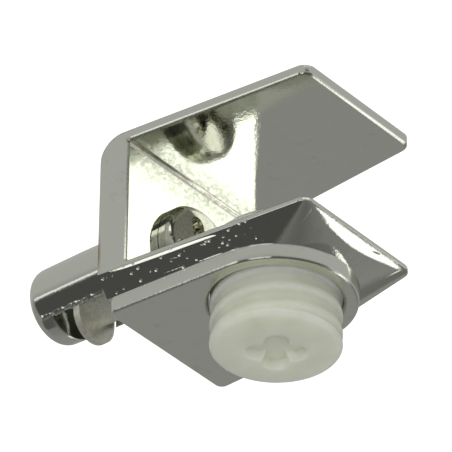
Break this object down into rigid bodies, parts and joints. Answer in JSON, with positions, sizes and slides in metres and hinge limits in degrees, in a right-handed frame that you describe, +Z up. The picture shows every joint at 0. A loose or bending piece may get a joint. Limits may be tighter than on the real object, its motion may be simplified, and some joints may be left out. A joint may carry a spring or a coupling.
{
  "type": "shelf support",
  "caption": "Plug-in glass shelf support: U-shaped cast clamp on a wall pin, with a plastic clamp screw from below and a turning locking tongue in the pin.",
  "frame": {"origin": "on the axis of the pin, where the pin leaves the back face of the web", "axes": "+X points out of the cabinet side along the jaws, +Z is up, -X is the way the plug goes into its hole"},
  "size_m": [0.0238, 0.0126, 0.015],
  "materials": {
    "polished_casting": "polished plating on a zinc casting, with small specks",
    "dull_zinc": "dull bare zinc casting",
    "natural_nylon": "milky natural nylon"
  },
  "bodies": {
    "bracket": {"bracket_body": "polished_casting"},
    "spindle": {"lock_spindle": "dull_zinc"},
    "screw": {"clamp_screw": "natural_nylon"}
  },
  "joints": [
    {"name": "spindle_turn", "type": "hinge", "parent": "bracket", "child": "spindle", "pos_m": [0, 0, -0.00074], "axis": [1, 0, 0], "range_deg": [0, 180]},
    {"name": "screw_travel", "type": "slide", "parent": "bracket", "child": "screw", "axis": [0, 0, 1], "range_m": [-0.0018, 0.0037]}
  ]
}
